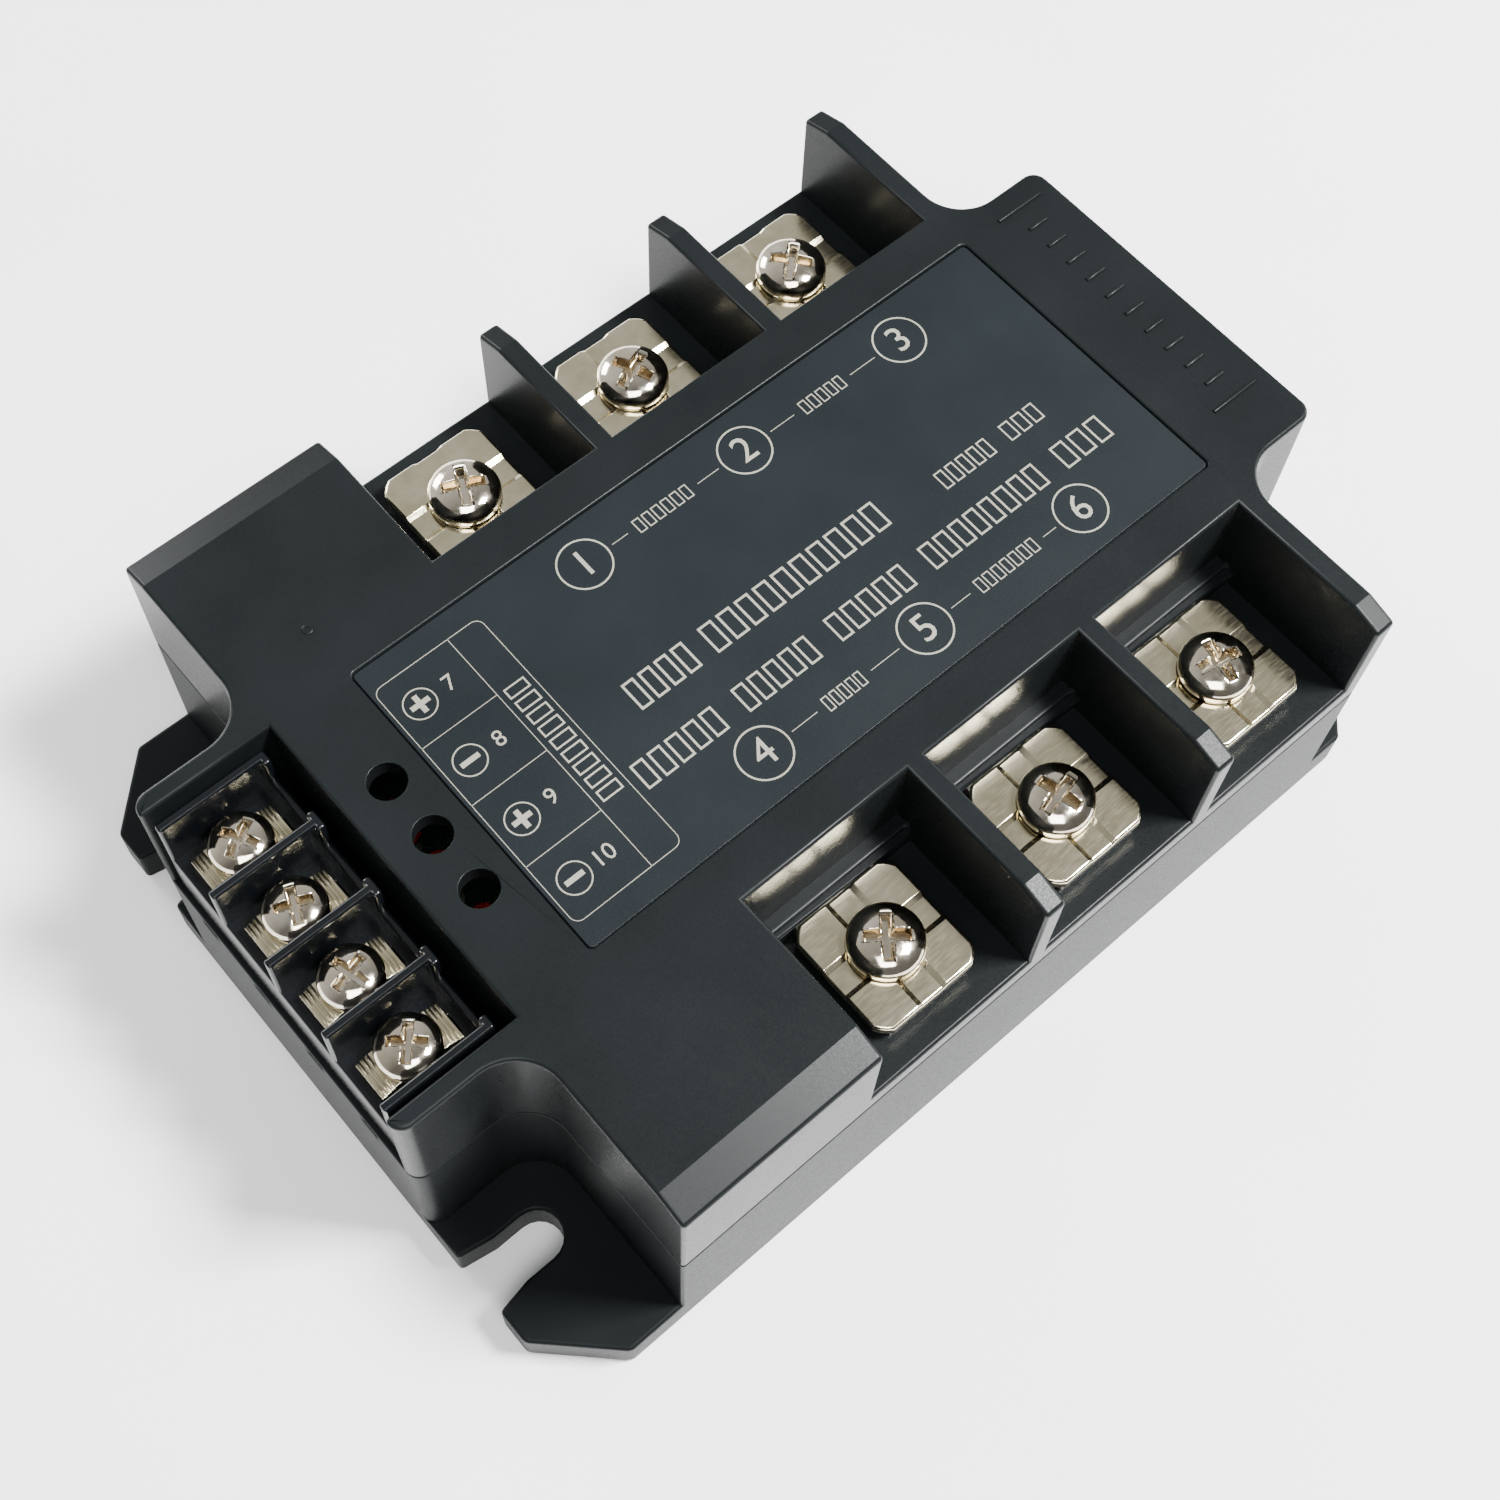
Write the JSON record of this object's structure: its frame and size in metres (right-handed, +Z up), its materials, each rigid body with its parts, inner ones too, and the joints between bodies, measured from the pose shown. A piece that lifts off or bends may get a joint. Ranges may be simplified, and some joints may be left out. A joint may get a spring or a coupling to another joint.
{
  "type": "solid state relay",
  "caption": "Three-phase reversing solid state relay in a flat slotted-foot housing, with walled power screw terminals, a control terminal block, indicator lights and a metal base.",
  "frame": {"origin": "middle of the underside of the base plate", "axes": "+X along the length, from the control terminals to the plain end; +Y to the supply side terminals; +Z up out of the heat sink"},
  "size_m": [0.105, 0.076, 0.0345],
  "materials": {
    "housing": "fine moulded grain, dark slate grey",
    "block_plastic": "smooth moulded, near black",
    "label_film": "matt printed film",
    "print": "matt cream-white ink",
    "nickel": "warm satin nickel plating",
    "screw_steel": "bright zinc and nickel plating",
    "copper": "nickel-plated copper",
    "plate_metal": "ground flat",
    "ceramic": "fired alumina",
    "silicon": "passivated silicon",
    "board": "solder mask",
    "lens": "clear red resin",
    "resin": "moulded epoxy",
    "capacitor": "smooth case"
  },
  "bodies": {
    "relay": {"base_plate": "plate_metal", "lower_case": "housing", "cover": "housing", "label": "label_film", "control_block": "block_plastic", "ceramic_substrate": "ceramic", "control_board": "board", "indicator_light_1": "lens", "indicator_light_2": "lens", "indicator_light_3": "lens", "control_contact_1": "nickel", "control_contact_2": "nickel", "control_contact_3": "nickel", "control_contact_4": "nickel", "terminal_nut_1": "screw_steel", "power_bar_1": "copper", "terminal_nut_2": "screw_steel", "terminal_nut_3": "screw_steel", "power_bar_3": "copper", "terminal_nut_4": "screw_steel", "power_bar_4": "copper", "terminal_nut_5": "screw_steel", "terminal_nut_6": "screw_steel", "power_bar_6": "copper", "through_bar": "copper", "thyristor_pair_1": "silicon", "thyristor_pair_2": "silicon", "thyristor_pair_3": "silicon", "thyristor_pair_4": "silicon", "optocoupler_1": "resin", "snubber_capacitor_1": "capacitor", "optocoupler_2": "resin", "snubber_capacitor_2": "capacitor", "optocoupler_3": "resin", "snubber_capacitor_3": "capacitor", "optocoupler_4": "resin", "snubber_capacitor_4": "capacitor"},
    "control_clamp_1": {"control_clamp_1": "nickel"},
    "control_clamp_2": {"control_clamp_2": "nickel"},
    "control_clamp_3": {"control_clamp_3": "nickel"},
    "control_clamp_4": {"control_clamp_4": "nickel"},
    "control_screw_1": {"control_screw_1": "screw_steel"},
    "control_screw_2": {"control_screw_2": "screw_steel"},
    "control_screw_3": {"control_screw_3": "screw_steel"},
    "control_screw_4": {"control_screw_4": "screw_steel"},
    "power_clamp_1": {"power_clamp_1": "nickel"},
    "power_clamp_2": {"power_clamp_2": "nickel"},
    "power_clamp_3": {"power_clamp_3": "nickel"},
    "power_clamp_4": {"power_clamp_4": "nickel"},
    "power_clamp_5": {"power_clamp_5": "nickel"},
    "power_clamp_6": {"power_clamp_6": "nickel"},
    "power_screw_1": {"power_screw_1": "screw_steel"},
    "power_screw_2": {"power_screw_2": "screw_steel"},
    "power_screw_3": {"power_screw_3": "screw_steel"},
    "power_screw_4": {"power_screw_4": "screw_steel"},
    "power_screw_5": {"power_screw_5": "screw_steel"},
    "power_screw_6": {"power_screw_6": "screw_steel"}
  },
  "joints": [
    {"name": "power_clamp_1_lift", "type": "slide", "parent": "relay", "child": "power_clamp_1", "axis": [0, 0, 1], "range_m": [0, 0.0021]},
    {"name": "power_screw_1_turn", "type": "hinge", "parent": "power_clamp_1", "child": "power_screw_1", "pos_m": [-0.0102, 0.0292, 0.02545], "axis": [0, 0, 1], "range_deg": [0, 1081]},
    {"name": "power_clamp_2_lift", "type": "slide", "parent": "relay", "child": "power_clamp_2", "axis": [0, 0, 1], "range_m": [0, 0.0021]},
    {"name": "power_screw_2_turn", "type": "hinge", "parent": "power_clamp_2", "child": "power_screw_2", "pos_m": [0.0102, 0.0292, 0.02545], "axis": [0, 0, 1], "range_deg": [0, 1081]},
    {"name": "power_clamp_3_lift", "type": "slide", "parent": "relay", "child": "power_clamp_3", "axis": [0, 0, 1], "range_m": [0, 0.0021]},
    {"name": "power_screw_3_turn", "type": "hinge", "parent": "power_clamp_3", "child": "power_screw_3", "pos_m": [0.0306, 0.0292, 0.02545], "axis": [0, 0, 1], "range_deg": [0, 1081]},
    {"name": "power_clamp_4_lift", "type": "slide", "parent": "relay", "child": "power_clamp_4", "axis": [0, 0, 1], "range_m": [0, 0.0021]},
    {"name": "power_screw_4_turn", "type": "hinge", "parent": "power_clamp_4", "child": "power_screw_4", "pos_m": [-0.0102, -0.0292, 0.02545], "axis": [0, 0, 1], "range_deg": [0, 1081]},
    {"name": "power_clamp_5_lift", "type": "slide", "parent": "relay", "child": "power_clamp_5", "axis": [0, 0, 1], "range_m": [0, 0.0021]},
    {"name": "power_screw_5_turn", "type": "hinge", "parent": "power_clamp_5", "child": "power_screw_5", "pos_m": [0.0102, -0.0292, 0.02545], "axis": [0, 0, 1], "range_deg": [0, 1081]},
    {"name": "power_clamp_6_lift", "type": "slide", "parent": "relay", "child": "power_clamp_6", "axis": [0, 0, 1], "range_m": [0, 0.0021]},
    {"name": "power_screw_6_turn", "type": "hinge", "parent": "power_clamp_6", "child": "power_screw_6", "pos_m": [0.0306, -0.0292, 0.02545], "axis": [0, 0, 1], "range_deg": [0, 1081]},
    {"name": "control_clamp_1_lift", "type": "slide", "parent": "relay", "child": "control_clamp_1", "axis": [0, 0, 1], "range_m": [0, 0.0015]},
    {"name": "control_screw_1_turn", "type": "hinge", "parent": "control_clamp_1", "child": "control_screw_1", "pos_m": [-0.04695, 0.01162, 0.02915], "axis": [0, 0, 1], "range_deg": [0, 1081]},
    {"name": "control_clamp_2_lift", "type": "slide", "parent": "relay", "child": "control_clamp_2", "axis": [0, 0, 1], "range_m": [0, 0.0015]},
    {"name": "control_screw_2_turn", "type": "hinge", "parent": "control_clamp_2", "child": "control_screw_2", "pos_m": [-0.04695, 0.00387, 0.02915], "axis": [0, 0, 1], "range_deg": [0, 1081]},
    {"name": "control_clamp_3_lift", "type": "slide", "parent": "relay", "child": "control_clamp_3", "axis": [0, 0, 1], "range_m": [0, 0.0015]},
    {"name": "control_screw_3_turn", "type": "hinge", "parent": "control_clamp_3", "child": "control_screw_3", "pos_m": [-0.04695, -0.00387, 0.02915], "axis": [0, 0, 1], "range_deg": [0, 1081]},
    {"name": "control_clamp_4_lift", "type": "slide", "parent": "relay", "child": "control_clamp_4", "axis": [0, 0, 1], "range_m": [0, 0.0015]},
    {"name": "control_screw_4_turn", "type": "hinge", "parent": "control_clamp_4", "child": "control_screw_4", "pos_m": [-0.04695, -0.01162, 0.02915], "axis": [0, 0, 1], "range_deg": [0, 1081]}
  ],
  "couplings": [
    {"joint": "power_screw_1_turn", "follows": "power_clamp_1_lift", "rad_per_m": 8976},
    {"joint": "power_screw_2_turn", "follows": "power_clamp_2_lift", "rad_per_m": 8976},
    {"joint": "power_screw_3_turn", "follows": "power_clamp_3_lift", "rad_per_m": 8976},
    {"joint": "power_screw_4_turn", "follows": "power_clamp_4_lift", "rad_per_m": 8976},
    {"joint": "power_screw_5_turn", "follows": "power_clamp_5_lift", "rad_per_m": 8976},
    {"joint": "power_screw_6_turn", "follows": "power_clamp_6_lift", "rad_per_m": 8976},
    {"joint": "control_screw_1_turn", "follows": "control_clamp_1_lift", "rad_per_m": 12566},
    {"joint": "control_screw_2_turn", "follows": "control_clamp_2_lift", "rad_per_m": 12566},
    {"joint": "control_screw_3_turn", "follows": "control_clamp_3_lift", "rad_per_m": 12566},
    {"joint": "control_screw_4_turn", "follows": "control_clamp_4_lift", "rad_per_m": 12566}
  ]
}
